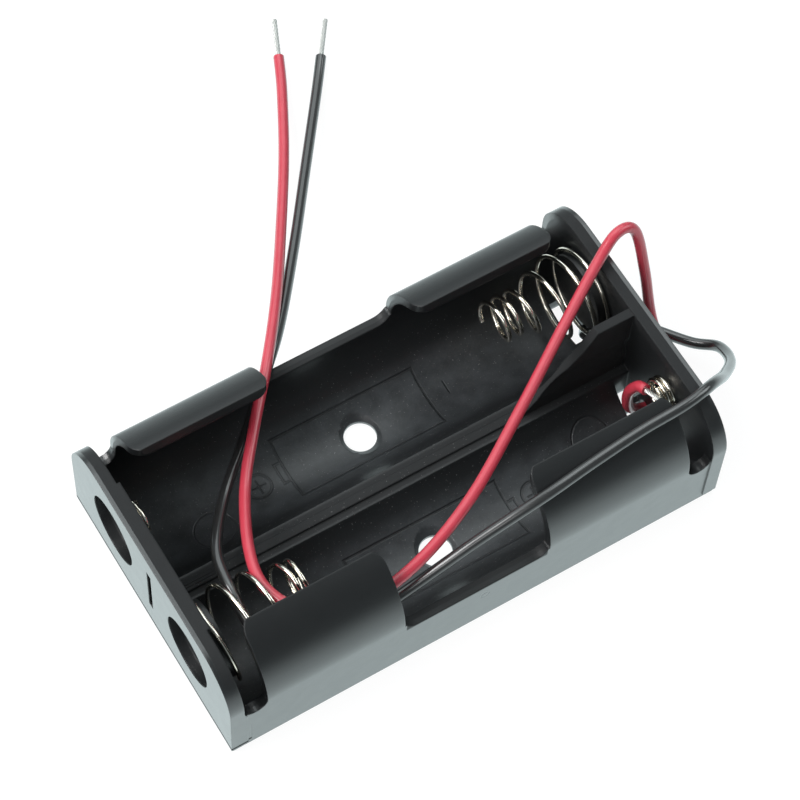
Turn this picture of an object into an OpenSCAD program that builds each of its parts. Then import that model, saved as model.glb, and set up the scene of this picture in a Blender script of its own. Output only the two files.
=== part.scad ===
// Open tray holder for two AA cells side by side, with wire contacts and two leads.
// +X runs along the cells, +Y across them, +Z up; the origin is the centre of the underside.

/* [Cells] */
// Largest cell diameter that the bays take
cell_d = 14.5; // [13.8:0.1:15.2]
// Play between a cell and its bay, on the diameter
cell_play = 0.1; // [0.05:0.05:0.4]
// Distance between the two cells' axes
cell_pitch = 15.1; // [15.0:0.1:17]
// Clear length of a bay between the end walls
bay_len = 54; // [52:0.5:60]

/* [Tray walls] */
// Thickness of the side walls and their tabs
wall = 1.1; // [0.9:0.1:1.6]
// Thickness of the floor under the lowest line of a bay
floor_t = 0.8; // [0.8:0.1:1.6]
// Thickness of the left end wall
left_end_t = 1.9; // [1.6:0.1:2.6]
// Thickness of the right end wall
right_end_t = 1.6; // [1.6:0.1:2.6]
// Height of the end walls
end_h = 14.6; // [13.6:0.1:15.6]
// Radius of the end walls' upper corners
end_corner_r = 5.6; // [3:0.1:6.5]
// How far the end walls stand proud of the side walls
end_proud = 0.15; // [0.05:0.05:0.6]
// Height of the set-in foot under the end walls
foot_h = 0.55; // [0.3:0.05:0.7]
// How far the foot is set in from the end walls
foot_inset = 0.25; // [0.2:0.05:0.5]

/* [Tabs and side openings] */
// Angle that a tab curls over its cell, above the horizontal
tab_angle = 70.5; // [55:0.5:75]
// Length of a tab beside the left end wall
left_tab_len = 15.5; // [12:0.1:18]
// Length of a tab beside the right end wall
right_tab_len = 16.6; // [12:0.1:18]
// Radius of a tab's corners, seen from above
tab_corner_r = 1.8; // [0.5:0.1:2.5]
// Height of the side wall's edge in the window between two tabs
window_z = 7.1; // [6.5:0.1:8]
// Radius in the window's lower corners
window_r = 1.7; // [0.5:0.1:2.5]
// Width of the notch between a tab and an end wall
notch_w = 2.7; // [2.2:0.1:3.2]
// Height of the lowest point of a notch
notch_z = 7; // [6.5:0.1:8]
// Depth that a notch cuts into the left end wall's inner face
notch_bite = 0.35; // [0.1:0.05:0.5]

/* [Divider and partition] */
// Height of the ridge between the bays
ridge_z = 4.2; // [3.6:0.1:4.6]
// Width of the bead along the ridge
bead_w = 1; // [0.8:0.1:1.6]
// Height of the bead above the ridge
bead_h = 0.3; // [0.2:0.05:0.5]
// Thickness of the partition between the contacts
rib_t = 1; // [0.8:0.1:1.4]
// Height of the partition's top
rib_z = 14.4; // [13:0.1:14.6]
// Length of the partition's level top
rib_len = 4.3; // [3:0.1:6]
// Length of the ramp from the ridge up to the partition
ramp_len = 8.3; // [6:0.1:10]
// Height of the step between the ramp's head and the partition's top
rib_step = 1.6; // [0.5:0.1:2.5]

/* [Screw holes] */
// Diameter of a screw hole
screw_d = 3.5; // [3:0.1:4]
// Diameter of the countersink at the floor
screw_head_d = 5.4; // [5:0.1:7]
// Straight length of a screw hole under its countersink
screw_land = 0.4; // [0.3:0.05:0.6]

/* [Floor slots] */
// Length of the floor slots, along the cells
slot_len = 2; // [1.6:0.1:2.6]
// Distance of the far bay's slot from the middle of the tray
far_slot_y = 5.2; // [4.6:0.1:5.6]
// Width of the far bay's slot, across the cells
far_slot_w = 5.4; // [3:0.1:6]
// Distance of the near bay's first slot from the middle of the tray
near_slot_y = 1.5; // [1.2:0.1:1.8]
// Width of the near bay's first slot
near_slot_w = 2; // [1.5:0.1:2.2]
// Width of the bar between the near bay's slots
slot_bar = 0.5; // [0.4:0.1:0.8]
// Width of the near bay's second slot
near_slot2_w = 5.9; // [4:0.1:6]

/* [End wall details] */
// Radius of the round recesses in the end walls' outer faces
recess_r = 3.9; // [3:0.1:5]
// Thickness of wall left behind a recess
recess_web = 0.7; // [0.5:0.1:1]
// Width of the upright slot between the recesses
key_w = 0.8; // [0.5:0.1:1.2]
// Height of the upright slot
key_h = 7.4; // [4:0.1:9]
// Height of the spring bosses on the end walls' inner faces
boss_h = 1.2; // [0.8:0.1:1.6]

/* [Contacts] */
// Diameter of the contact wire
wire_d = 0.5; // [0.4:0.05:0.6]
// Radius of the springs' wide loops, to the wire's centre
base_r = 4.7; // [4.2:0.1:5.2]
// Radius of the springs' narrow loops, to the wire's centre
tip_r = 2.3; // [1.6:0.1:3]
// Play between a boss and the loop round it
boss_play = 0.2; // [0.1:0.05:0.4]
// Radius of the flat coils that meet the cells' buttons, to the wire's centre
coil_r = 1.6; // [1.2:0.1:2.4]
// Turns in a flat coil
coil_turns = 2.25; // [1.25:1:3.25]
// Spacing of a flat coil's turns
coil_pitch = 0.56; // [0.52:0.02:0.8]
// Height of the near bay's flat coil above its cell's axis
coil_lift = 1.9; // [0:0.1:2.4]

/* [Leads] */
// Outer diameter of a lead
lead_d = 1.2; // [1:0.1:1.4]
// Diameter of a lead's tinned strands
core_d = 0.6; // [0.4:0.05:0.8]
// Length of the tinned end of a lead
tip_len = 5; // [3:0.5:8]
// Length of a lead's bare strands at its contact
inner_tip_len = 2; // [1.2:0.1:2.4]
// Play between a lead and its notch in the end wall, on the width
lead_play = 0.6; // [0.4:0.1:1]
// Distance of the red lead's notch from the middle of the tray, towards -Y
red_notch_y = 5; // [4.8:0.1:5.2]
// Distance of the black lead's notch from the middle of the tray, towards +Y
black_notch_y = 6.1; // [5.9:0.1:6.3]

/* [Hidden] */
$fn = 96;
eps = 0.01;        // overlap that joins two solids of one piece
over = 1;          // how far a cutter runs past the face it cuts
link_bend_r = 0.8; // bend where the near spring's wire turns along the left wall
coil_run_in = 1;   // straight wire before the far bay's flat coil starts to turn
tail_len = 1.45;   // straight end of the far spring's wire, beside the black lead's strands
wire_gap = 0.02;   // air between a contact's wire and the wall behind it
wire_sides = 8;
loop_steps = 18;   // rings in one turn of wire

bay_r = (cell_d + cell_play) / 2;
axis_y = cell_pitch / 2;
axis_z = floor_t + bay_r;
tab_r = bay_r + wall;
side_y = axis_y + tab_r;
end_y = side_y + end_proud;
tray_len = left_end_t + bay_len + right_end_t;
x_left = -tray_len / 2;
x_right = tray_len / 2;
bay_x0 = x_left + left_end_t;
bay_x1 = x_right - right_end_t;
left_tab_x0 = bay_x0 - notch_bite + notch_w;
left_tab_x1 = left_tab_x0 + left_tab_len;
right_tab_x1 = bay_x1 - notch_w;
right_tab_x0 = right_tab_x1 - right_tab_len;
boss_r = base_r - wire_d / 2 - boss_play;
wire_x0 = bay_x0 + wire_d / 2 + wire_gap;
wire_x1 = bay_x1 - wire_d / 2 - wire_gap;
lead_notch_w = lead_d + lead_play;
lead_notch_z = 1.7;  // height of a lead's centre line in its notch
ramp_drop = 1;       // how far the ramp's head lies below the step

// The springs: turns are counted from the top of the loop against the wall, outwards.
// Each row of a run is [turn, distance of the wire's centre from the wall].
near_run = [[-0.25, 0], [0, 0.1], [1, 3.6], [2, 6.6], [3, 9.9], [4.6, 11.2]];
far_run = [[-0.33, 0], [0, 0.1], [1, 2], [2, 4.7], [3, 7.6], [4, 9.1], [5.4, 11.1]];
narrow_from = 1.3;      // turn at which a spring starts to narrow
narrow_to = 3;          // turn at which it has its narrow radius
tip_shift = [0.7, 1.1]; // how far a spring's narrow end stands off its axis, in Y and Z

// Stations of the leads' centre lines, from the end at the contact to the end outside.
route_steps = 2;        // rings between two stations
red_stations = [
    [24.87, -6.9, 10.9], [24.67, -5.9, 10.3], [24.3, -5.1, 8], [24.7, -5, 4.6], [26.4, -5, 2.2],
    [29.2, -4.8, 1.65], [31.6, -2.4, 2.1], [32.6, 2.6, 4.4], [32.8, 5.3, 10], [32.3, 7.4, 15.4],
    [30, 7.5, 16.7], [26.6, 5.9, 15.7], [20, 1.8, 14.8], [11.3, -3.8, 13.9], [2.6, -9, 12.9],
    [-5.4, -12.1, 12.1], [-12, -12.7, 11.3], [-17.2, -10.6, 11.2], [-19.4, -6.9, 11.2],
    [-18.7, -2.2, 10.4], [-15.3, 4.7, 8.7], [-10.7, 10.7, 8.9], [-6.5, 15.7, 9.15],
    [-1.5, 22.5, 7.65], [4, 31, 4.6], [9.8, 40.4, 2], [14.3, 48.6, 0.8], [16.3, 52.8, 0.62]];
black_stations = [
    [26.15, 4.7, 3.5], [26.17, 5.35, 2.3], [27.3, 6.15, 1.65], [30.2, 5.7, 1.6], [32.8, 3, 1.4],
    [35.6, -1, 1.9], [37.3, -3.4, 3.2], [36.3, -6.4, 5.9], [33, -9.2, 10.4], [29.5, -11.2, 14.9],
    [25.6, -12.2, 15.95], [20, -12.4, 15.85], [14, -12.85, 15.5], [8.2, -13.4, 15.1],
    [0.4, -13.25, 12.5], [-7.6, -13.25, 9.5], [-14.4, -13.6, 8.5], [-19.6, -13, 7.7], [-22, -9.6, 8.3],
    [-22.2, -5, 9.8], [-21.1, 0.2, 8.8], [-17.2, 5.6, 7.2], [-12.2, 10.3, 7.2], [-7.4, 14.9, 7.9],
    [-2.6, 19.9, 7], [4.2, 28.6, 4.6], [10.7, 37.4, 2.3], [17.4, 46.4, 0.8], [20.4, 50.5, 0.62]];

// ---------- swept wire: rings carried along a list of points without twist ----------
function unit(v) = v / norm(v);
function last(p) = len(p) - 1;
function heading(p, i) = unit(p[min(i + 1, last(p))] - p[max(i - 1, 0)]);
function square_to(u, t) = unit(u - t * (u * t));
function side_axes(p, t0) =
    let (start = abs(t0.z) > 0.7 ? [1, 0, 0] : [0, 0, 1])
    [for (i = 0, u = square_to(start, t0); i < len(p);
          i = i + 1, u = i < len(p) ? square_to(u, heading(p, i)) : u) u];
function spline(a, b, c, d, t) =
    b + t / 2 * (c - a) + t * t * (a - 2.5 * b + 2 * c - d / 2) + t * t * t * (-a / 2 + 1.5 * b - 1.5 * c + d / 2);
function smooth(p, n) =
    [for (i = [0 : last(p) - 1], k = [0 : n - 1])
        spline(p[max(i - 1, 0)], p[i], p[i + 1], p[min(i + 2, last(p))], k / n), p[last(p)]];
function ring(c, u, t, r, sides) =
    [for (k = [0 : sides - 1])
        let (a = 360 * k / sides)
        c + r * (cos(a) * u + sin(a) * cross(t, u))];

module sweep(p, d, sides = 8) {
    axes = side_axes(p, heading(p, 0));
    points = [for (i = [0 : last(p)]) each ring(p[i], axes[i], heading(p, i), d / 2, sides)];
    walls = [for (i = [0 : last(p) - 1], k = [0 : sides - 1])
        let (a = i * sides + k, b = i * sides + (k + 1) % sides)
        each [[a, a + sides, b], [b, a + sides, b + sides]]];
    foot = [for (k = [0 : sides - 1]) k];
    head = [for (k = [sides - 1 : -1 : 0]) last(p) * sides + k];
    polyhedron(points, concat([foot], walls, [head]), convexity = 10);
}

// ---------- contacts ----------
function turn_r(t) = base_r + (tip_r - base_r) * min(1, max(0, (t - narrow_from) / (narrow_to - narrow_from)));
function shift(t) = tip_shift * min(1, max(0, (t - 1) / 2));

// A stepped spring's centre line: wide loops at the wall, narrow loops at the tip.
// side is +1 on the left end wall and -1 on the right one.
function spring_line(x0, y0, side, run) =
    [for (t = [run[0][0] : 1 / loop_steps : run[last(run)][0]])
        let (a = 90 + side * 360 * t, r = turn_r(t), off = shift(t))
        [x0 + side * lookup(t, run), y0 + off.x + r * cos(a), axis_z + off.y + r * sin(a)]];

// A flat coil's centre line, from the wall outwards.
function coil_line(x0, y0, z0, side, a0) =
    [for (t = [0 : 1 / loop_steps : coil_turns])
        let (a = a0 + side * 360 * t)
        [x0 + side * coil_pitch * t, y0 + coil_r * cos(a), z0 + coil_r * sin(a)]];

// One wire: the near bay's spring, a link along the left wall and the far bay's flat coil.
module link_contact() {
    coil = coil_line(wire_x0, axis_y, axis_z, 1, -90);
    spring = spring_line(wire_x0, -axis_y, 1, near_run);
    y0 = spring[0].y;
    z1 = axis_z - coil_r;
    link = [
        [wire_x0, y0, z1 + link_bend_r],
        for (a = [202.5 : 22.5 : 270])
            [wire_x0, y0 + link_bend_r * (1 + cos(a)), z1 + link_bend_r * (1 + sin(a))],
        [wire_x0, 0, z1],
        [wire_x0, axis_y - coil_run_in, z1]];
    back = [for (i = [last(spring) : -1 : 0]) spring[i]];
    color([0.8, 0.78, 0.74]) sweep(concat(back, link, coil), wire_d, wire_sides);
}

// The far bay's spring, with a tail down the right wall for the black lead.
module spring_contact() {
    spring = spring_line(wire_x1, axis_y, -1, far_run);
    tail = spring[0] + tail_len * unit(spring[0] - spring[1]);
    color([0.8, 0.78, 0.74]) sweep(concat([[wire_x1, tail.y, tail.z]], spring), wire_d, wire_sides);
}

// The near bay's flat coil, with a tail down the right wall into the floor slot.
module button_contact() {
    z0 = axis_z + coil_lift;
    coil = coil_line(wire_x1, -axis_y, z0, -1, 180);
    tail = [[wire_x1, -axis_y - coil_r, floor_t], [wire_x1, -axis_y - coil_r, z0 / 2]];
    color([0.8, 0.78, 0.74]) sweep(concat(tail, coil), wire_d, wire_sides);
}

// ---------- leads ----------
// A tinned end: strands that carry on from one end of a lead.
module tinned_end(from, towards, length, d) {
    v = unit(towards);
    translate(from)
        rotate([0, acos(v.z), atan2(v.y, v.x)])
            cylinder(h = length, d = d, $fn = 24);
}

red_route = smooth(red_stations, route_steps);
black_route = smooth(black_stations, route_steps);

module lead(route) {
    sweep(route, lead_d, 8);
}

module outer_tip(route) {
    n = last(route);
    tinned_end(route[n], heading(route, n), tip_len, core_d);
}

module red_lead() { color([0.85, 0.1, 0.15]) lead(red_route); }
module black_lead() { color([0.12, 0.12, 0.12]) lead(black_route); }
module red_tip() { color([0.75, 0.75, 0.74]) outer_tip(red_route); }
module black_tip() { color([0.75, 0.75, 0.74]) outer_tip(black_route); }

// The red lead's inner end runs into the near bay's flat coil and is soldered there.
module red_core() {
    color([0.75, 0.75, 0.74]) tinned_end(red_route[0], -heading(red_route, 0), inner_tip_len, core_d);
}

// The black lead's inner end lies against the far spring's tail.
module black_core() {
    color([0.75, 0.75, 0.74]) tinned_end(black_route[0], -heading(black_route, 0), inner_tip_len, core_d);
}

// ---------- tray ----------
// Section of the side walls, tabs and floor, seen along the cells: X here is the tray's Y.
module tab_ring() {
    difference() {
        circle(tab_r);
        circle(bay_r);
        translate([-2 * tab_r, -tab_r]) square([2 * tab_r, 2 * tab_r]);
        rotate(tab_angle) translate([-over, 0]) square([2 * tab_r, 2 * tab_r]);
    }
}

module body_section() {
    difference() {
        translate([-side_y, 0]) square([2 * side_y, axis_z]);
        for (s = [-1, 1]) translate([s * axis_y, axis_z]) circle(bay_r);
        translate([-axis_y, ridge_z]) square([2 * axis_y, axis_z]);
    }
}

module along_x(x0, x1) {
    translate([x0, 0, 0]) rotate([90, 0, 90]) linear_extrude(x1 - x0) children();
}

// A tab between two stations, with its two free corners rounded in plan.
module tab(x0, x1) {
    tip_y = axis_y + bay_r * cos(tab_angle);
    intersection() {
        along_x(x0, x1) translate([axis_y, axis_z]) tab_ring();
        union() {
            translate([x0 - over, tip_y + tab_corner_r, 0])
                cube([x1 - x0 + 2 * over, 2 * tab_r, 3 * tab_r]);
            translate([x0 + tab_corner_r, tip_y - over, 0])
                cube([x1 - x0 - 2 * tab_corner_r, 2 * tab_r, 3 * tab_r]);
            for (x = [x0 + tab_corner_r, x1 - tab_corner_r])
                translate([x, tip_y + tab_corner_r, 0]) cylinder(h = 3 * tab_r, r = tab_corner_r);
        }
    }
}

module end_outline() {
    mid_z = end_h - end_corner_r;
    mid_y = end_y - end_corner_r;
    translate([-end_y, foot_h]) square([2 * end_y, mid_z - foot_h]);
    translate([-mid_y, foot_h]) square([2 * mid_y, end_h - foot_h]);
    for (s = [-1, 1]) translate([s * mid_y, mid_z]) circle(end_corner_r);
}

// A round-bottomed cutter through a side wall, from the inside of a bay outwards.
module side_cutter(x0, x1, z0, r) {
    y0 = axis_y + bay_r * cos(tab_angle) - over;
    translate([0, y0 + 2 * tab_r, 0])
        rotate([90, 0, 0])
            linear_extrude(2 * tab_r) {
                if (x1 - x0 > 2 * r) translate([x0 + r, z0]) square([x1 - x0 - 2 * r, 3 * tab_r]);
                translate([x0, z0 + r]) square([x1 - x0, 3 * tab_r]);
                for (x = [x0 + r, x1 - r]) translate([x, z0 + r]) circle(r);
            }
}

// The partition between the contacts at the right end, with the ramp up to it.
module partition() {
    head_x = bay_x1 - rib_len;
    foot_x = head_x - ramp_len;
    translate([0, rib_t / 2, 0])
        rotate([90, 0, 0])
            linear_extrude(rib_t)
                polygon([[foot_x, ridge_z], [foot_x, ridge_z + bead_h],
                         [head_x - rib_step, rib_z - rib_step - ramp_drop], [head_x, rib_z],
                         [bay_x1 + eps, rib_z], [bay_x1 + eps, ridge_z]]);
}

module screw_hole(y) {
    cone_h = (screw_head_d - screw_d) / 2;
    translate([0, y, -over]) cylinder(h = floor_t + 2 * over, d = screw_d);
    translate([0, y, screw_land])
        cylinder(h = cone_h + eps, d1 = screw_d, d2 = screw_head_d + 2 * eps);
    translate([0, y, screw_land + cone_h]) cylinder(h = bay_r, d = screw_head_d);
}

module floor_slot(y0, w) {
    translate([bay_x1 - slot_len, y0, -over]) cube([slot_len + eps, w, axis_z / 2 + over]);
}

// A notch with a round top at the foot of the right end wall, for a lead.
module lead_notch(y) {
    translate([bay_x1 - over, y - lead_notch_w / 2, -over])
        cube([right_end_t + 2 * over, lead_notch_w, lead_notch_z + over]);
    translate([bay_x1 - over, y, lead_notch_z])
        rotate([0, 90, 0]) cylinder(h = right_end_t + 2 * over, d = lead_notch_w);
}

module end_face_cuts(x0, t, side) {
    depth = t - recess_web + over;
    x1 = side > 0 ? x0 - over : x0 + over - depth;
    for (y = [-axis_y, axis_y])
        translate([x1, y, axis_z]) rotate([0, 90, 0]) cylinder(h = depth, r = recess_r);
    translate([x1, -key_w / 2, axis_z - key_h / 2]) cube([depth, key_w, key_h]);
}

module tray() {
    color([0.14, 0.145, 0.15])
    difference() {
        union() {
            difference() {
                union() {
                    along_x(x_left + foot_inset, x_right - foot_inset) body_section();
                    for (m = [0, 1]) mirror([0, m, 0]) {
                        tab(left_tab_x0, left_tab_x1);
                        tab(right_tab_x0, right_tab_x1);
                    }
                    translate([bay_x0 - eps, -bead_w / 2, floor_t])
                        cube([bay_len + 2 * eps, bead_w, ridge_z + bead_h - floor_t]);
                    partition();
                    along_x(x_left, bay_x0) end_outline();
                    along_x(bay_x1, x_right) end_outline();
                }
                for (y = [-axis_y, axis_y])
                    translate([bay_x0, y, axis_z]) rotate([0, 90, 0]) cylinder(h = bay_len, r = bay_r);
                for (m = [0, 1]) mirror([0, m, 0]) {
                    side_cutter(left_tab_x1, right_tab_x0, window_z, window_r);
                    side_cutter(left_tab_x0 - notch_w, left_tab_x0, notch_z, notch_w / 2);
                    side_cutter(right_tab_x1, bay_x1, notch_z, notch_w / 2);
                }
            }
            translate([bay_x0 - eps, -axis_y, axis_z])
                rotate([0, 90, 0]) cylinder(h = boss_h + eps, r = boss_r);
            translate([bay_x1 - boss_h, axis_y, axis_z])
                rotate([0, 90, 0]) cylinder(h = boss_h + eps, r = boss_r);
        }
        screw_hole(-axis_y);
        screw_hole(axis_y);
        floor_slot(far_slot_y, far_slot_w);
        floor_slot(-near_slot_y - near_slot_w, near_slot_w);
        floor_slot(-near_slot_y - near_slot_w - slot_bar - near_slot2_w, near_slot2_w);
        lead_notch(-red_notch_y);
        lead_notch(black_notch_y);
        end_face_cuts(x_left, left_end_t, 1);
        end_face_cuts(x_right, right_end_t, -1);
    }
}

tray();
link_contact();
spring_contact();
button_contact();
red_lead();
red_core();
red_tip();
black_lead();
black_core();
black_tip();
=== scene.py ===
"""Finishes for an open holder of two cells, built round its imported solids.

Lengths in the property groups are in metres. Everything typed in millimetres goes through MM.
"""

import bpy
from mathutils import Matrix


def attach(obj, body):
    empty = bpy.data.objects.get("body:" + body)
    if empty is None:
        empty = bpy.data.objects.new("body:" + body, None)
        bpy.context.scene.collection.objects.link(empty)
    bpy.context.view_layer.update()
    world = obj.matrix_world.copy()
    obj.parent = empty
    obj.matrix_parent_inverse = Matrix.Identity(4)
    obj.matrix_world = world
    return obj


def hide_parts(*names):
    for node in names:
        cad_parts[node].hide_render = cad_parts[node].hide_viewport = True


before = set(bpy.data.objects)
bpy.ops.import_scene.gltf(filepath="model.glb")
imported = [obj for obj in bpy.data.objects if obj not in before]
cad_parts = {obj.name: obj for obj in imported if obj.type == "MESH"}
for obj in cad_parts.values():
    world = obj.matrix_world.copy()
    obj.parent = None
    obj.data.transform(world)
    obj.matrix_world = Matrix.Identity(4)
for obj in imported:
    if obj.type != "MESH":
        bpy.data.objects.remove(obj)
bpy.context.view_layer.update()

import math

import bmesh
import bpy
from mathutils import Matrix, Vector

bl_info = {
    "name": "Two-cell holder",
    "version": (1, 0, 0),
    "blender": (4, 5, 0),
    "location": "3D View > Sidebar > Cell Holder",
    "description": "Moulded tray, wound wire contacts and soft leads of a holder for two cells",
    "category": "Add Mesh",
}

MM = 0.001
BODY = "root"

# The cells' axes and the end walls' inner faces, in millimetres.
AXIS_Y, AXIS_Z = 7.55, 8.1
LEFT_WALL_X, RIGHT_WALL_X = -26.85, 27.15


# ---------- routes ----------
# Stations of the leads' centre lines, from the end at the contact to the end outside.
RED_STATIONS = [
    (24.87, -6.9, 10.9), (24.67, -5.9, 10.3), (24.3, -5.1, 8), (24.7, -5, 4.6), (26.4, -5, 2.2),
    (29.2, -4.8, 1.65), (31.6, -2.4, 2.1), (32.6, 2.6, 4.4), (32.8, 5.3, 10), (32.3, 7.4, 15.4),
    (30, 7.5, 16.7), (26.6, 5.9, 15.7), (20, 1.8, 14.8), (11.3, -3.8, 13.9), (2.6, -9, 12.9),
    (-5.4, -12.1, 12.1), (-12, -12.7, 11.3), (-17.2, -10.6, 11.2), (-19.4, -6.9, 11.2),
    (-18.7, -2.2, 10.4), (-15.3, 4.7, 8.7), (-10.7, 10.7, 8.9), (-6.5, 15.7, 9.15),
    (-1.5, 22.5, 7.65), (4, 31, 4.6), (9.8, 40.4, 2), (14.3, 48.6, 0.8), (16.3, 52.8, 0.62)]
BLACK_STATIONS = [
    (26.15, 4.7, 3.5), (26.17, 5.35, 2.3), (27.3, 6.15, 1.65), (30.2, 5.7, 1.6), (32.8, 3, 1.4),
    (35.6, -1, 1.9), (37.3, -3.4, 3.2), (36.3, -6.4, 5.9), (33, -9.2, 10.4), (29.5, -11.2, 14.9),
    (25.6, -12.2, 15.95), (20, -12.4, 15.85), (14, -12.85, 15.5), (8.2, -13.4, 15.1),
    (0.4, -13.25, 12.5), (-7.6, -13.25, 9.5), (-14.4, -13.6, 8.5), (-19.6, -13, 7.7),
    (-22, -9.6, 8.3), (-22.2, -5, 9.8), (-21.1, 0.2, 8.8), (-17.2, 5.6, 7.2),
    (-12.2, 10.3, 7.2), (-7.4, 14.9, 7.9), (-2.6, 19.9, 7), (4.2, 28.6, 4.6),
    (10.7, 37.4, 2.3), (17.4, 46.4, 0.8), (20.4, 50.5, 0.62)]
SOLID_STEPS = 2      # rings between two stations in the solid lead
SMOOTH_STEPS = 8     # points between two stations in the finished lead


def spline(a, b, c, d, t):
    """Point at t between b and c on a smooth line through all four."""
    return (b + t / 2 * (c - a) + t * t * (a - 2.5 * b + 2 * c - d / 2)
            + t ** 3 * (-a / 2 + 1.5 * b - 1.5 * c + d / 2))


def smooth(stations, steps):
    """A smooth line through the stations, as vectors in millimetres."""
    p = [Vector(s) for s in stations]
    last = len(p) - 1
    points = [spline(p[max(i - 1, 0)], p[i], p[i + 1], p[min(i + 2, last)], k / steps)
              for i in range(last) for k in range(steps)]
    return points + [p[last]]


def line_length(points):
    """The length of a line of straight pieces."""
    return sum((b - a).length for a, b in zip(points, points[1:]))


# ---------- contact wire ----------
# Sizes in millimetres, angles in degrees. The radii reach to the wire's centre.
WIRE_GAP = 0.02      # air between a contact's wire and the wall behind it
BASE_R, TIP_R = 4.7, 2.3             # a spring's wide and narrow loops
NARROW_FROM, NARROW_TO = 1.3, 3      # turns between which a spring narrows
TIP_SHIFT = (0.7, 1.1)               # a spring's narrow end off its axis, in Y and Z
# A flat coil's radius, turns and rise in a turn, and the near bay's coil above the axis.
COIL_R, COIL_TURNS, COIL_PITCH, COIL_LIFT = 1.6, 2.25, 0.56, 1.9
COIL_RUN_IN = 1      # straight wire before the far bay's flat coil
LINK_BEND_R = 0.8        # the link's bend below the near spring
LINK_BEND_ANGLES = (202.5, 225, 247.5, 270)
TAIL_LEN = 1.45      # straight end of the far spring's wire
FLOOR_T = 0.8        # thickness of the tray's floor
# Each row of a run is the turn and the wire's distance from the wall.
NEAR_RUN = [(-0.25, 0), (0, 0.1), (1, 3.6), (2, 6.6), (3, 9.9), (4.6, 11.2)]
FAR_RUN = [(-0.33, 0), (0, 0.1), (1, 2), (2, 4.7), (3, 7.6), (4, 9.1), (5.4, 11.1)]
LOOP_STEPS = 18      # corners in one turn of the solid wire
FINE_STEPS = 36      # corners in one turn of the finished wire


def clamp(value):
    """The value, kept between 0 and 1."""
    return max(0.0, min(1.0, value))


def lookup(t, rows):
    """The value at t, on straight lines between rows of (t, value)."""
    for (t0, v0), (t1, v1) in zip(rows, rows[1:]):
        if t <= t1:
            return v0 + (v1 - v0) * (t - t0) / (t1 - t0)
    return rows[-1][1]


def turn_steps(start, end, per_turn):
    """Evenly spaced turns from start, as many as fit before end."""
    count = int((end - start) * per_turn + 1e-6)
    return [start + i / per_turn for i in range(count + 1)]


def spring_line(x0, y0, side, run, per_turn):
    """A stepped spring's centre line: wide loops at the wall, narrow loops at the tip."""
    points = []
    for t in turn_steps(run[0][0], run[-1][0], per_turn):
        a = math.radians(90 + side * 360 * t)
        r = BASE_R + (TIP_R - BASE_R) * clamp((t - NARROW_FROM) / (NARROW_TO - NARROW_FROM))
        off = clamp((t - 1) / 2)
        points.append(Vector((x0 + side * lookup(t, run),
                              y0 + off * TIP_SHIFT[0] + r * math.cos(a),
                              AXIS_Z + off * TIP_SHIFT[1] + r * math.sin(a))))
    return points


def coil_line(x0, y0, z0, side, start_deg, per_turn):
    """A flat coil's centre line, from the wall outwards."""
    points = []
    for t in turn_steps(0, COIL_TURNS, per_turn):
        a = math.radians(start_deg + side * 360 * t)
        points.append(Vector((x0 + side * COIL_PITCH * t, y0 + COIL_R * math.cos(a),
                              z0 + COIL_R * math.sin(a))))
    return points


# ---------- shader maths ----------
class Value:
    """A node's output that takes part in sums. Each sum adds its Math node."""

    def __init__(self, graph, socket):
        self.graph, self.socket = graph, socket

    def math(self, operation, *others, clamp_result=False):
        return self.graph.math(operation, self, *others, clamp_result=clamp_result)

    def __add__(self, other):
        return self.graph.math("ADD", self, other)

    __radd__ = __add__

    def __sub__(self, other):
        return self.graph.math("SUBTRACT", self, other)

    def __rsub__(self, other):
        return self.graph.math("SUBTRACT", other, self)

    def __mul__(self, other):
        return self.graph.math("MULTIPLY", self, other)

    __rmul__ = __mul__

    def __truediv__(self, other):
        return self.graph.math("DIVIDE", self, other)

    def __abs__(self):
        return self.math("ABSOLUTE")

    def __lt__(self, other):
        return self.math("LESS_THAN", other)

    def __gt__(self, other):
        return self.math("GREATER_THAN", other)

    def clamped(self):
        return self.math("ADD", 0.0, clamp_result=True)


class Graph:
    """A node tree, and the one method that adds any node to it."""

    def __init__(self, tree):
        self.tree = tree

    def node(self, kind, settings=None, inputs=None, output=0):
        """Adds a node: its settings first, then the values or links of its sockets."""
        made = self.tree.nodes.new(kind)
        for name, value in (settings or {}).items():
            setattr(made, name, value)
        for key, value in (inputs or {}).items():
            self.feed(made.inputs[key], value)
        return Value(self, made.outputs[output]) if len(made.outputs) else made

    def feed(self, socket, value):
        if isinstance(value, Value):
            self.tree.links.new(value.socket, socket)
        else:
            socket.default_value = value

    def math(self, operation, *values, clamp_result=False):
        return self.node("ShaderNodeMath", {"operation": operation, "use_clamp": clamp_result},
                         dict(enumerate(values)))

    def mix(self, mask, low, high):
        """Colour low where the mask is 0 and high where it is 1."""
        return self.node("ShaderNodeMix", {"data_type": "RGBA"},
                         {0: mask, 6: low, 7: high}, output=2)

    def noise(self, place, scale, detail=2.0, roughness=0.5):
        return self.node("ShaderNodeTexNoise", None, {
            "Vector": place, "Scale": scale, "Detail": detail, "Roughness": roughness})

    def place_mm(self):
        """The piece's own coordinates, in millimetres."""
        raw = self.node("ShaderNodeTexCoord", output="Object")
        return self.node("ShaderNodeVectorMath", {"operation": "MULTIPLY"},
                         {0: raw, 1: (1 / MM,) * 3})

    def split(self, place):
        """The X, Y and Z of a vector."""
        made = self.tree.nodes.new("ShaderNodeSeparateXYZ")
        self.feed(made.inputs[0], place)
        return [Value(self, o) for o in made.outputs]


def new_material(name):
    material = bpy.data.materials.new(name)
    material.use_nodes = True
    material.node_tree.nodes.clear()
    return material, Graph(material.node_tree)


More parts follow.
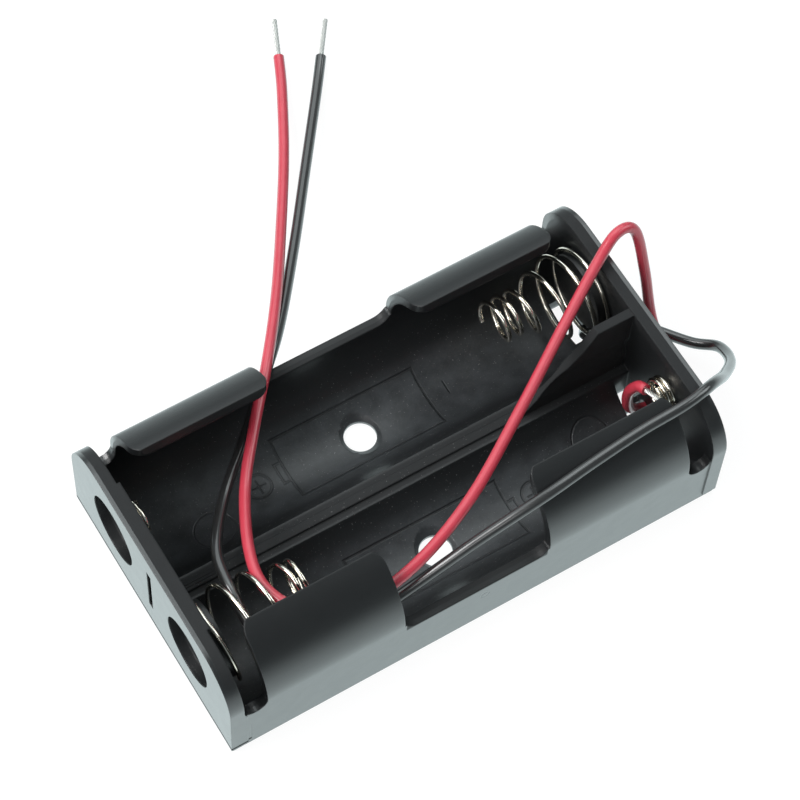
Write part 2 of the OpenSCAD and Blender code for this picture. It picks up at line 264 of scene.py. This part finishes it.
def finish_material(graph, settings):
    """The last two nodes of a solid finish: Principled BSDF and output."""
    surface = graph.node("ShaderNodeBsdfPrincipled", None, settings)
    graph.node("ShaderNodeOutputMaterial", None, {"Surface": surface})


def bump(graph, height_mm, normal=None):
    """A normal tilted by a height in millimetres."""
    inputs = {"Height": height_mm, "Strength": 1.0, "Distance": MM}
    if normal is not None:
        inputs["Normal"] = normal
    return graph.node("ShaderNodeBump", None, inputs)


def grey(level):
    return (level, level, level, 1)


# ---------- masks ----------
def box_distance(x, y, centre, half):
    """Distance from a rectangle's outline, less than 0 inside it."""
    dx = abs(x - centre[0]) - half[0]
    dy = abs(y - centre[1]) - half[1]
    return dx.math("MAXIMUM", dy)


def ring_distance(x, y, centre, radius):
    dx, dy = x - centre[0], y - centre[1]
    return (dx * dx + dy * dy).math("SQRT") - radius


def line_mask(distance, half_width, soft):
    """1 on a line at distance 0, falling to 0 at its edge."""
    return (1 - (abs(distance) - half_width) / soft).clamped()


def area_mask(distance, soft):
    """1 inside a shape, falling to 0 at its outline."""
    return (0.5 - distance / soft).clamped()


def union(*masks):
    """The highest of the masks."""
    out = masks[0]
    for mask in masks[1:]:
        out = out.math("MAXIMUM", mask)
    return out


def cell_outline(x, y, low, high, nub_end, nub_low, nub_high, half_width, soft):
    """Outline of a cell with its button end, engraved in a bay's floor."""
    centre = ((low[0] + high[0]) / 2, (low[1] + high[1]) / 2)
    half = ((high[0] - low[0]) / 2, (high[1] - low[1]) / 2)
    body_end = low[0] if nub_end < low[0] else high[0]
    nub_centre = ((nub_end + body_end) / 2, (nub_low + nub_high) / 2)
    nub_half = (abs(nub_end - body_end) / 2, (nub_high - nub_low) / 2)
    body = box_distance(x, y, centre, half)
    nub = box_distance(x, y, nub_centre, nub_half)
    return line_mask(body.math("MINIMUM", nub), half_width, soft)


def plus_sign(x, y, centre, arm, half_width, soft):
    across = box_distance(x, y, centre, (arm, half_width))
    along = box_distance(x, y, centre, (half_width, arm))
    return area_mask(across.math("MINIMUM", along), soft)


def minus_sign(x, y, centre, arm, half_width, soft):
    return area_mask(box_distance(x, y, centre, (half_width, arm)), soft)


# ---------- the tray's finish ----------
# Places and sizes of its marks, in millimetres. A mark's line is as wide as the user sets.
# A cell's outline is its body's two corners, its button's end and the button's two sides.
CELL_OUTLINES = (((-8.8, 4.2), (8.3, 11.2), -9.6, 6.6, 8.9),
                 ((-9, -11.1), (9, -4.3), 9.9, -8.4, -6.7))
PLUS_PLACES = ((-12.1, 7.6), (12.1, -7.3))
MINUS_PLACES = ((10.7, 7.9), (-11.2, -7.4))
SIGN_ARM, SIGN_RING_R = 0.8, 1.35
PIN_PLACES, PIN_R = ((-18.5, 5.4), (20.5, -5.2)), 2.2    # rings of the ejector pins
GATE_PLACE, GATE_R = (0.4, 5.3), 0.45                    # ring of the gate, in X and Z
MARK_SOFT = 0.09         # width over which a mark's edge fades
MARKS_TOP_Z = 4.6        # no mark on a floor or a side wall lies higher
SLIT_Y, SLIT_END_X = 0.16, -21.5     # two fine lines along the ridge's left end
SEAM_X = -26.45                      # fine upright line near the left end
LIP_Z, LIP_END_X = 0.95, -26.4       # fine level groove round the left end, darkened as a painted shadow under the end wall's overhang
# Bounds between the faces of the tray that differ in gloss.
FOOT_Z = 0.4
END_FACE_X, END_WALL_X = 28.3, 26.7
SIDE_FACE_Y = 15.4
SHELL_R = 7.85           # midway through a side wall, round a cell's axis
GLOSS_FROM_Y, GLOSS_FADE = 14.1, 1.3
RIDGE_HALF, RIDGE_Z = 1.2, 3.4
WINDOW_X, WINDOW_HALF, WINDOW_Y, WINDOW_Z = -0.6, 8.2, 13.5, 6.8
END_TOP_Z, END_TOP_FADE = 12.5, 2
FLOOR_Z, FLOOR_FADE = 2.7, 1.3


def tray_grooves(x, y, z, half_width):
    """Mask of the engraved marks and of the mould's fine lines."""
    def ring(centre, radius):
        return ring_distance(x, y, centre, radius)

    marks = [cell_outline(x, y, *cell, half_width, MARK_SOFT) for cell in CELL_OUTLINES]
    for place in PLUS_PLACES:
        marks.append(line_mask(ring(place, SIGN_RING_R), half_width, MARK_SOFT))
        marks.append(plus_sign(x, y, place, SIGN_ARM, half_width, MARK_SOFT))
    for place in MINUS_PLACES:
        marks.append(minus_sign(x, y, place, SIGN_ARM, half_width, MARK_SOFT))
    pins = union(*[line_mask(ring(place, PIN_R), 0.02, 0.12) for place in PIN_PLACES])
    on_floor = z < MARKS_TOP_Z
    on_front = y < -SIDE_FACE_Y
    gate = line_mask(ring_distance(x, z, GATE_PLACE, GATE_R), 0.03, 0.1) * on_front
    slit = line_mask(abs(y) - SLIT_Y, 0.02, 0.06) * (x < SLIT_END_X) * (z > 4.3) * (z < 6)
    seam = line_mask(x - SEAM_X, 0.04, 0.10) * on_front * on_floor
    return union(union(*marks, pins * 0.6) * on_floor, gate * 0.9, slit * 0.6, seam * 0.4)


def tray_plastic(sizes):
    """Black moulded plastic: satin inside the bays, glossier outside, with the engraved marks."""
    material, g = new_material("moulded_black_plastic")
    place = g.place_mm()
    x, y, z = g.split(place)
    grooves = tray_grooves(x, y, z, sizes.mark_width / MM / 2)

    # The side walls' gloss fades where they curl over into the tabs.
    across, up = abs(y) - AXIS_Y, z - AXIS_Z
    shell = ((across * across + up * up > SHELL_R ** 2)
             * ((abs(y) - GLOSS_FROM_Y) / GLOSS_FADE).clamped())
    outside = union(z < FOOT_Z, shell, x < -END_FACE_X, x > END_FACE_X)
    inside = 1 - outside
    near_left = union(x < -END_FACE_X, (y < -SIDE_FACE_Y) * (x < LIP_END_X))
    # A shallow groove round the left end, painted near black as the shadow under the end wall's
    # overhang.
    lip_groove_and_shadow = line_mask(z - LIP_Z, 0.10, 0.12) * near_left

    # The level top faces are duller.
    ridge = area_mask(abs(y) - RIDGE_HALF, 0.3) * (z > RIDGE_Z) * (abs(x) < END_WALL_X)
    end_tops = (abs(x) > END_WALL_X) * ((z - END_TOP_Z) / END_TOP_FADE).clamped() * inside
    window_tops = (((z - WINDOW_Z) / 0.3).clamped() * (abs(x - WINDOW_X) < WINDOW_HALF)
                   * (abs(y) > WINDOW_Y))
    tops = union(ridge, end_tops, window_tops * 0.9)

    mottle = g.noise(place, 0.55, 4.0, 0.6)
    grain = g.noise(place, 4.5, 3.0, 0.65)
    height = (mottle * 0.012 + grain * (0.014 - 0.011 * outside)
              - union(grooves, lip_groove_and_shadow) * (sizes.mark_depth / MM))
    rounded = g.node("ShaderNodeBevel", {"samples": 6}, {"Radius": sizes.edge_radius})

    # The bays' floors are painted paler than their walls, a cloudy painted light, with the
    # plastic's own grain and specks.
    floor = ((FLOOR_Z - z) / FLOOR_FADE).clamped() * inside
    specks = (g.noise(place, 5.5, 1.0, 0.5) > 0.735) * inside * (z < MARKS_TOP_Z)
    # Painted light: the floors' paler colour, brighter where the mottle is.
    painted_floor_light = tuple(c * 4.0 + 0.002 for c in sizes.plastic_colour)
    base = g.mix(floor * (0.35 + (mottle - 0.3) * 1.6), (*sizes.plastic_colour, 1), (*painted_floor_light, 1))
    base = g.mix((grain - 0.5) * floor * 1.3, base, grey(0.07))
    base = g.mix(specks * 0.5, base, grey(0.22))
    # Painted shade: the engraved marks and mould lines are darkened in their grooves, and the lip
    # line is the painted shadow under the left end.
    base = g.mix(union(grooves * 0.5, lip_groove_and_shadow), base, grey(0.003))
    finish_material(g, {
        "Base Color": base,
        "Roughness": (sizes.plastic_roughness + mottle * 0.10 - outside * 0.09
                      + lip_groove_and_shadow * 0.5 + tops * 0.3),
        "Normal": bump(g, height, rounded),
        "Specular IOR Level": 0.5,
        "Coat Weight": (0.2 + outside * 0.8) * (1 - union(lip_groove_and_shadow, tops)),
        "Coat Roughness": 0.25, "Coat IOR": 1.62})
    return material


# ---------- the other finishes ----------
def plated_wire():
    """Bright nickel plate on drawn wire, with a warm tarnish in patches."""
    material, g = new_material("nickel_plated_wire")
    place = g.place_mm()
    tarnish = g.noise(place, 0.9, 2.0, 0.5)
    base = g.mix((tarnish - 0.35) * 1.6, (1.0, 0.96, 0.87, 1), (0.80, 0.70, 0.52, 1))
    finish_material(g, {"Base Color": base, "Metallic": 1.0, "Roughness": 0.13 + tarnish * 0.06})
    return material


def soft_insulation(name, colour, roughness, lighter, gloss):
    """Smooth soft PVC with a slight mottle and tiny scuffs."""
    material, g = new_material(name)
    place = g.place_mm()
    mottle = g.noise(place, 0.6, 2.0, 0.5)
    skin = g.noise(place, 6.0, 2.0, 0.5)
    base = g.mix(mottle * 0.7, tuple(colour) + (1,), tuple(lighter) + (1,))
    finish_material(g, {"Base Color": base, "Roughness": roughness + skin * 0.10,
                        "Normal": bump(g, mottle * 0.010 + skin * 0.002),
                        "Coat Weight": 1.0, "Coat Roughness": 0.22 - 0.12 * gloss,
                        "Coat IOR": 1.4 + 0.4 * gloss})
    return material


def tinned_copper():
    """Fine strands under a dull coat of solder."""
    material, g = new_material("tinned_strands")
    place = g.place_mm()
    cloud = g.noise(place, 3.0, 3.0, 0.6)
    base = g.mix(cloud, (0.62, 0.62, 0.60, 1), (0.80, 0.79, 0.76, 1))
    finish_material(g, {"Base Color": base, "Metallic": 1.0, "Roughness": 0.28 + cloud * 0.15,
                        "Normal": bump(g, cloud * 0.02)})
    return material


POOL_HALF, POOL_FADE = (29, 16), 80      # painted pool of light round the tray in the ground's mirror image, in millimetres


def pale_ground():
    """White ground that takes shadows. In a mirror it shows a painted pool of light that dims
    away from the tray.
    """
    material, g = new_material("pale_ground")
    camera, glossy, clear = (g.node("ShaderNodeLightPath", output=name) for name in
                             ("Is Camera Ray", "Is Glossy Ray", "Is Transmission Ray"))
    seen = union(camera, glossy, clear)
    plain = g.node("ShaderNodeBsdfDiffuse", None, {"Color": grey(0.8)})
    faint = g.node("ShaderNodeBsdfDiffuse", None, {"Color": grey(0.14)})
    x, y, _ = g.split(g.place_mm())
    away = (abs(x) - POOL_HALF[0]).math("MAXIMUM", abs(y) - POOL_HALF[1]).math("MAXIMUM", 0)
    # Painted reflection: the ground seen in a mirror is a cool pool of light round the tray that
    # dims away from it.
    mirror_light_pool = (away / -POOL_FADE).math("EXPONENT") * 0.65 + 0.35
    mirrored = g.mix(mirror_light_pool, grey(0), (0.83, 0.97, 0.98, 1))
    tint = g.mix(glossy, grey(0.92), mirrored)
    light = g.node("ShaderNodeEmission", None, {"Color": tint, "Strength": 1.0})
    white = g.node("ShaderNodeAddShader", None, {0: faint, 1: light})
    surface = g.node("ShaderNodeMixShader", None, {0: seen, 1: plain, 2: white})
    g.node("ShaderNodeOutputMaterial", None, {"Surface": surface})
    return material


# ---------- geometry node trees ----------
STRAND_POINTS, STRAND_SIDES = 14, 8      # along and round a strand


def new_tree(name, inputs, result):
    """A geometry tree: its graph, its inputs as values and their identifiers by name."""
    tree = bpy.data.node_groups.new(name, "GeometryNodeTree")
    sockets = {}
    for label, kind in inputs.items():
        sockets[label] = tree.interface.new_socket(
            label, in_out="INPUT", socket_type="NodeSocket" + kind).identifier
    tree.interface.new_socket(result, in_out="OUTPUT", socket_type="NodeSocketGeometry")
    g = Graph(tree)
    given = tree.nodes.new("NodeGroupInput").outputs
    return g, [Value(g, given[label]) for label in inputs], sockets


def round_sweep(g, line, radius, sides):
    """Sweeps a round section along a line and closes its ends."""
    section = g.node("GeometryNodeCurvePrimitiveCircle", None,
                     {"Resolution": sides, "Radius": radius})
    return g.node("GeometryNodeCurveToMesh", None,
                  {"Curve": line, "Profile Curve": section, "Fill Caps": True})


def finish_tree(g, geometry, finish):
    """The tree's last nodes: realized instances, their material and the output."""
    real = g.node("GeometryNodeRealizeInstances", None, {0: geometry})
    done = g.node("GeometryNodeSetMaterial", None, {"Geometry": real, "Material": finish})
    g.node("NodeGroupOutput", None, {0: done})


def swept_wire_tree():
    """Sweeps a round section along a centre line: input line, diameter, sides and material."""
    g, (line, diameter, sides, finish), sockets = new_tree("swept_wire", {
        "Line": "Geometry", "Diameter": "Float", "Sides": "Int", "Finish": "Material"}, "Wire")
    finish_tree(g, round_sweep(g, line, diameter / 2, sides), finish)
    return g.tree, sockets


def strand_tree():
    """Lays twisted strands round a straight core along Z: input counts, sizes and material."""
    g, given, sockets = new_tree("twisted_strands", {
        "Strands": "Int", "Length": "Float", "Strand Diameter": "Float",
        "Lay Radius": "Float", "Twist": "Float", "Finish": "Material"}, "Bare End")
    strands, length, diameter, lay_radius, twist, finish = given

    def vector(x, y, z):
        return g.node("ShaderNodeCombineXYZ", None, {0: x, 1: y, 2: z})

    line = g.node("GeometryNodeCurvePrimitiveLine", None, {"End": vector(0, 0, length)})
    fine = g.node("GeometryNodeResampleCurve", None, {"Curve": line, "Count": STRAND_POINTS})
    angle = g.node("GeometryNodeSplineParameter", output="Factor") * twist
    offset = vector(angle.math("COSINE") * lay_radius, angle.math("SINE") * lay_radius, 0)
    twisted = g.node("GeometryNodeSetPosition", None, {"Geometry": fine, "Offset": offset})
    strand = round_sweep(g, twisted, diameter / 2, STRAND_SIDES)

    seats = g.node("GeometryNodePoints", None, {"Count": strands})
    turn = g.node("GeometryNodeInputIndex") / strands * math.tau
    laid = g.node("GeometryNodeInstanceOnPoints", None, {
        "Points": seats, "Instance": strand, "Rotation": vector(0, 0, turn)})
    joined = g.node("GeometryNodeJoinGeometry", None, {0: laid})
    g.feed(joined.socket.node.inputs[0], round_sweep(g, fine, lay_radius, STRAND_SIDES))
    finish_tree(g, joined, finish)
    return g.tree, sockets


def applied(piece, modifier):
    """The mesh that a modifier makes of a piece. The modifier is removed."""
    graph = bpy.context.evaluated_depsgraph_get()
    graph.update()
    made = bpy.data.meshes.new_from_object(piece.evaluated_get(graph))
    piece.modifiers.remove(modifier)
    return made


def run_tree(name, tree, sockets, values, start=None):
    """Runs a tree on start, or on an empty mesh, and returns the result as a mesh object."""
    source = start or bpy.data.objects.new(name + "_source", bpy.data.meshes.new("empty"))
    bpy.context.scene.collection.objects.link(source)
    modifier = source.modifiers.new("build", "NODES")
    modifier.node_group = tree
    for key, value in values.items():
        modifier[sockets[key]] = value
    made = applied(source, modifier)
    bpy.data.objects.remove(source)
    made.name = name
    piece = bpy.data.objects.new(name, made)
    bpy.context.scene.collection.objects.link(piece)
    return piece


def line_curve(name, points_mm):
    """A curve object of one open spline through the points."""
    data = bpy.data.curves.new(name, "CURVE")
    data.dimensions = "3D"
    data.twist_mode = "MINIMUM"
    path = data.splines.new("POLY")
    path.points.add(len(points_mm) - 1)
    for corner, point in zip(path.points, points_mm):
        corner.co = (*(point * MM), 1)
    return bpy.data.objects.new(name, data)


def finish_mesh(piece, crease_deg=50):
    """Merges doubles, points the faces outwards and shades all but the sharp edges smooth."""
    mesh = bmesh.new()
    mesh.from_mesh(piece.data)
    bmesh.ops.remove_doubles(mesh, verts=mesh.verts, dist=1e-7)
    bmesh.ops.recalc_face_normals(mesh, faces=mesh.faces)
    for face in mesh.faces:
        face.smooth = True
    crease = math.radians(crease_deg)
    for edge in mesh.edges:
        edge.smooth = len(edge.link_faces) == 2 and edge.calc_face_angle(0) < crease
    mesh.to_mesh(piece.data)
    mesh.free()


def keep(piece, node):
    """Puts a finished piece in a solid's place."""
    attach(piece, BODY)
    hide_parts(node)


# ---------- sizes that a user would change ----------
class TraySettings(bpy.types.PropertyGroup):
    plastic_colour: bpy.props.FloatVectorProperty(
        name="Plastic", description="Colour of the tray", subtype="COLOR", size=3,
        default=(0.010, 0.011, 0.012), min=0, max=1)
    plastic_roughness: bpy.props.FloatProperty(
        name="Roughness", description="Roughness of the tray inside its bays", default=0.40,
        min=0, max=1)
    edge_radius: bpy.props.FloatProperty(
        name="Edge radius", description="Rounding of the moulded edges", default=0.28 * MM,
        min=0, max=MM, unit="LENGTH", precision=5)
    mark_width: bpy.props.FloatProperty(
        name="Mark width", description="Width of the engraved lines", default=0.15 * MM,
        min=0, max=MM, unit="LENGTH", precision=5)
    mark_depth: bpy.props.FloatProperty(
        name="Mark depth", description="Depth of the engraved lines", default=0.10 * MM,
        min=0, max=MM, unit="LENGTH", precision=5)


class ContactSettings(bpy.types.PropertyGroup):
    wire_diameter: bpy.props.FloatProperty(
        name="Wire", description="Diameter of the contacts' wire", default=0.5 * MM,
        min=0.2 * MM, max=MM, unit="LENGTH", precision=5)
    wire_sides: bpy.props.IntProperty(
        name="Sides", description="Faces round the wire", default=12, min=6, max=32)


class LeadSettings(bpy.types.PropertyGroup):
    lead_diameter: bpy.props.FloatProperty(
        name="Lead", description="Outer diameter of a lead", default=1.2 * MM,
        min=0.6 * MM, max=3 * MM, unit="LENGTH", precision=5)
    core_diameter: bpy.props.FloatProperty(
        name="Strands", description="Diameter of a lead's bare end", default=0.6 * MM,
        min=0.2 * MM, max=MM, unit="LENGTH", precision=5)
    tip_length: bpy.props.FloatProperty(
        name="Outer bare end", description="Length of the bare strands outside", default=5 * MM,
        min=MM, max=20 * MM, unit="LENGTH", precision=4)
    inner_tip_length: bpy.props.FloatProperty(
        name="Inner bare end", description="Length of the bare strands at a contact",
        default=2 * MM, min=MM, max=5 * MM, unit="LENGTH", precision=4)
    red: bpy.props.FloatVectorProperty(
        name="Red", description="Colour of the positive lead", subtype="COLOR", size=3,
        default=(0.57, 0.032, 0.060), min=0, max=1)
    black: bpy.props.FloatVectorProperty(
        name="Black", description="Colour of the negative lead", subtype="COLOR", size=3,
        default=(0.015, 0.015, 0.015), min=0, max=1)


# ---------- operators ----------
CAMERA_PLACE = (-77.206, -110.152, 276.438)      # in millimetres
SENSOR_WIDTH, LENS = 36, 133.86
LEAD_BEVEL = 5
STRAND_COUNT = 6
STRAND_SHARE = 0.32      # a strand's diameter, as a share of the bare end's
STRAND_PLAY = 0.002      # how far the strands stay inside the bare end, in millimetres
STRAND_LAY = 3.2         # length in which a strand goes once round, in millimetres
TRAY_MERGE, TRAY_FLAT_DEG, TRAY_CREASE_DEG, FACE_WEIGHT = 1e-6, 0.3, 34, 80
GROUND_HALF, GROUND_DROP = 1.5, 0.0002           # in metres
AIR_FADE = 0.12          # height on the unit sky over which the haze thins
COOL = (0.92, 0.99, 1.0)
# Each lamp's name, place and size in metres, power in watts and colour. All face the holder.
LAMPS = (
    ("key", (-0.62, 0.25, 0.72), (0.6, 0.6), 8.0, (1, 1, 1)),
    ("left", (-0.65, -0.35, 0.67), (0.7, 0.7), 2.6, (1, 1, 1)),
    ("back", (0.20, 0.72, 0.70), (1.1, 0.85), 3.3, COOL),
    ("top", (0.26, 0.30, 0.92), (0.55, 0.55), 1.25, COOL),
    ("side", (0.75, -0.1, 0.6), (0.5, 0.5), 1.8, COOL))


class HOLDER_OT_camera(bpy.types.Operator):
    """Adds the camera, above the near left corner"""
    bl_idname = "holder.camera"
    bl_label = "Camera"

    azimuth: bpy.props.FloatProperty(
        name="Azimuth", description="Degrees round the holder from its front", default=-34.83)
    elevation: bpy.props.FloatProperty(
        name="Elevation", description="Degrees above the ground", default=62.23)
    roll: bpy.props.FloatProperty(
        name="Roll", description="Degrees round the line of sight", default=4.261)

    def execute(self, context):
        a, e, r = (math.radians(v) for v in (self.azimuth, self.elevation, self.roll))
        forward = Vector((-math.sin(a) * math.cos(e), math.cos(a) * math.cos(e), -math.sin(e)))
        level = Vector((math.cos(a), math.sin(a), 0))
        up = level.cross(forward)
        right = math.cos(r) * level + math.sin(r) * up
        up = right.cross(forward)
        data = bpy.data.cameras.new("camera")
        data.sensor_width, data.lens = SENSOR_WIDTH, LENS
        data.clip_start, data.clip_end = 0.01, 10
        camera = bpy.data.objects.new("camera", data)
        turn = Matrix((right, up, -forward)).transposed().to_4x4()
        camera.matrix_world = Matrix.Translation(Vector(CAMERA_PLACE) * MM) @ turn
        context.scene.collection.objects.link(camera)
        context.scene.camera = camera
        return {"FINISHED"}


class HOLDER_OT_leads(bpy.types.Operator):
    """Adds the red and the black lead with their bare ends"""
    bl_idname = "holder.leads"
    bl_label = "Leads"

    def bare_end(self, name, start, towards, length, node):
        """A tinned end that starts at a point in millimetres, in a solid's place."""
        core = bpy.context.scene.holder_leads.core_diameter
        tree, sockets = self.strands
        strand = core * STRAND_SHARE
        piece = run_tree(name, tree, sockets, {
            "Strands": STRAND_COUNT, "Length": length, "Strand Diameter": strand,
            "Lay Radius": core / 2 - strand / 2 - STRAND_PLAY * MM,
            "Twist": math.tau * length / (STRAND_LAY * MM), "Finish": self.metal})
        turn = towards.to_track_quat("Z", "Y").to_matrix().to_4x4()
        piece.data.transform(Matrix.Translation(start * MM) @ turn)
        finish_mesh(piece)
        keep(piece, node)
        return piece

    def execute(self, context):
        settings = context.scene.holder_leads
        self.strands = strand_tree()
        self.metal = tinned_copper()
        finishes = {
            "red": soft_insulation("soft_red_insulation", settings.red, 0.38,
                                   (0.68, 0.07, 0.105), 0.2),
            "black": soft_insulation("soft_black_insulation", settings.black, 0.30,
                                     (0.03, 0.03, 0.031), 0.8)}
        for name, stations in (("red", RED_STATIONS), ("black", BLACK_STATIONS)):
            solid = smooth(stations, SOLID_STEPS)
            points = smooth(stations, SMOOTH_STEPS)
            piece = line_curve(name + "_wire", points)
            piece.data.bevel_depth = settings.lead_diameter / 2
            piece.data.bevel_resolution = LEAD_BEVEL
            piece.data.use_fill_caps = True
            context.scene.collection.objects.link(piece)
            piece.data.materials.append(finishes[name])
            inner = self.bare_end(name + "_inner_strands", solid[0], solid[0] - solid[1],
                                  settings.inner_tip_length, name + "_core")
            outer = self.bare_end(name + "_outer_strands", solid[-1], solid[-1] - solid[-2],
                                  settings.tip_length, name + "_tip")
            keep(piece, name + "_lead")
            tuple(points[0] * MM)
            round(line_length(points) * MM, 4)
        return {"FINISHED"}


class HOLDER_OT_contacts(bpy.types.Operator):
    """Adds the three contacts, each wound from one wire"""
    bl_idname = "holder.contacts"
    bl_label = "Wire contacts"

    def execute(self, context):
        settings = context.scene.holder_contacts
        tree, sockets = swept_wire_tree()
        metal = plated_wire()
        radius = settings.wire_diameter / MM / 2
        x0 = LEFT_WALL_X + radius + WIRE_GAP
        x1 = RIGHT_WALL_X - radius - WIRE_GAP

        spring = spring_line(x0, -AXIS_Y, 1, NEAR_RUN, FINE_STEPS)
        coil = coil_line(x0, AXIS_Y, AXIS_Z, 1, -90, FINE_STEPS)
        foot_y, foot_z = spring[0].y, AXIS_Z - COIL_R
        link = [Vector((x0, foot_y, foot_z + LINK_BEND_R))]
        for a in map(math.radians, LINK_BEND_ANGLES):
            link.append(Vector((x0, foot_y + LINK_BEND_R * (1 + math.cos(a)),
                                foot_z + LINK_BEND_R * (1 + math.sin(a)))))
        link += [Vector((x0, 0, foot_z)), Vector((x0, AXIS_Y - COIL_RUN_IN, foot_z))]
        far = spring_line(x1, AXIS_Y, -1, FAR_RUN, FINE_STEPS)
        solid = spring_line(x1, AXIS_Y, -1, FAR_RUN, LOOP_STEPS)
        tail = solid[0] + TAIL_LEN * (solid[0] - solid[1]).normalized()
        top = AXIS_Z + COIL_LIFT
        leg = [Vector((x1, -AXIS_Y - COIL_R, z)) for z in (FLOOR_T, top / 2)]
        lines = {
            "link_contact": spring[::-1] + link + coil,
            "spring_contact": [Vector((x1, tail.y, tail.z))] + far,
            "button_contact": leg + coil_line(x1, -AXIS_Y, top, -1, 180, FINE_STEPS)}
        for node, points in lines.items():
            name = node.replace("_contact", "_wire")
            piece = run_tree(name, tree, sockets, {
                "Diameter": settings.wire_diameter, "Sides": settings.wire_sides,
                "Finish": metal}, line_curve(name + "_line", points))
            finish_mesh(piece)
            keep(piece, node)
        return {"FINISHED"}


class HOLDER_OT_tray(bpy.types.Operator):
    """Adds the moulded tray, shaded smooth along its curves, with its finish"""
    bl_idname = "holder.tray"
    bl_label = "Tray"

    def execute(self, context):
        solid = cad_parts["tray"]
        piece = bpy.data.objects.new("moulded_tray", solid.data.copy())
        piece.data.transform(solid.matrix_world)
        context.scene.collection.objects.link(piece)
        mesh = bmesh.new()
        mesh.from_mesh(piece.data)
        bmesh.ops.remove_doubles(mesh, verts=mesh.verts, dist=TRAY_MERGE)
        bmesh.ops.dissolve_limit(mesh, angle_limit=math.radians(TRAY_FLAT_DEG),
                                 verts=mesh.verts, edges=mesh.edges)
        mesh.to_mesh(piece.data)
        mesh.free()
        finish_mesh(piece, TRAY_CREASE_DEG)
        weights = piece.modifiers.new("weights", "WEIGHTED_NORMAL")
        weights.keep_sharp = True
        weights.weight = FACE_WEIGHT
        piece.data = applied(piece, weights)
        piece.data.materials.clear()
        piece.data.materials.append(tray_plastic(context.scene.holder_tray))
        keep(piece, "tray")
        return {"FINISHED"}


class HOLDER_OT_stage(bpy.types.Operator):
    """Adds the pale ground, the world and the soft lamps"""
    bl_idname = "holder.stage"
    bl_label = "Stage"

    def lamp(self, name, place, size, watts, colour):
        """A soft rectangular lamp that faces the middle of the holder."""
        data = bpy.data.lights.new(name, "AREA")
        data.shape = "RECTANGLE"
        data.size, data.size_y = size
        data.energy = watts
        data.color = colour
        lamp = bpy.data.objects.new(name, data)
        lamp.location = place
        lamp.rotation_euler = (-Vector(place)).to_track_quat("-Z", "Y").to_euler()
        bpy.context.scene.collection.objects.link(lamp)

    def execute(self, context):
        half = GROUND_HALF
        mesh = bpy.data.meshes.new("ground")
        mesh.from_pydata([(-half, -half, 0), (half, -half, 0), (half, half, 0), (-half, half, 0)],
                         [], [(0, 1, 2, 3)])
        ground = bpy.data.objects.new("ground", mesh)
        ground.location.z = -GROUND_DROP
        mesh.materials.append(pale_ground())
        context.scene.collection.objects.link(ground)

        world = bpy.data.worlds.new("studio")
        world.use_nodes = True
        world.node_tree.nodes.clear()
        g = Graph(world.node_tree)
        # White to the eye. Otherwise dim, and paler near the horizon.
        seen = g.node("ShaderNodeLightPath", output="Is Camera Ray")
        _, _, up = g.split(g.node("ShaderNodeTexCoord", output="Generated"))
        haze = (up.math("MAXIMUM", 0) / -AIR_FADE).math("EXPONENT")
        air = g.mix(haze, (0.14, 0.16, 0.165, 1), (0.28, 0.33, 0.335, 1))
        back = g.node("ShaderNodeBackground", None,
                      {"Color": g.mix(seen, air, grey(1)), "Strength": 1.0})
        g.node("ShaderNodeOutputWorld", None, {"Surface": back})
        context.scene.world = world

        for row in LAMPS:
            self.lamp(*row)
        context.scene.view_settings.view_transform = "Standard"
        return {"FINISHED"}


class HOLDER_PT_panel(bpy.types.Panel):
    """Buttons and sizes for the holder"""
    bl_idname = "HOLDER_PT_panel"
    bl_label = "Cell holder"
    bl_space_type = "VIEW_3D"
    bl_region_type = "UI"
    bl_category = "Cell Holder"

    def draw(self, context):
        for step in STEPS:
            self.layout.operator(step.bl_idname)
        for settings in (context.scene.holder_tray, context.scene.holder_contacts,
                         context.scene.holder_leads):
            box = self.layout.box()
            for name in settings.bl_rna.properties.keys():
                if name not in ("rna_type", "name"):
                    box.prop(settings, name)


GROUPS = {"holder_tray": TraySettings, "holder_contacts": ContactSettings,
          "holder_leads": LeadSettings}
STEPS = (HOLDER_OT_camera, HOLDER_OT_leads, HOLDER_OT_contacts, HOLDER_OT_tray, HOLDER_OT_stage)


def register():
    for name, group in GROUPS.items():
        bpy.utils.register_class(group)
        setattr(bpy.types.Scene, name, bpy.props.PointerProperty(type=group))
    for step in (*STEPS, HOLDER_PT_panel):
        bpy.utils.register_class(step)


def unregister():
    for step in (*STEPS, HOLDER_PT_panel):
        bpy.utils.unregister_class(step)
    for name, group in GROUPS.items():
        delattr(bpy.types.Scene, name)
        bpy.utils.unregister_class(group)


def main():
    register()
    bpy.ops.holder.camera()
    bpy.ops.holder.leads()
    bpy.ops.holder.contacts()
    bpy.ops.holder.tray()
    bpy.ops.holder.stage()
    bpy.context.view_layer.update()


if __name__ == "__main__":
    main()
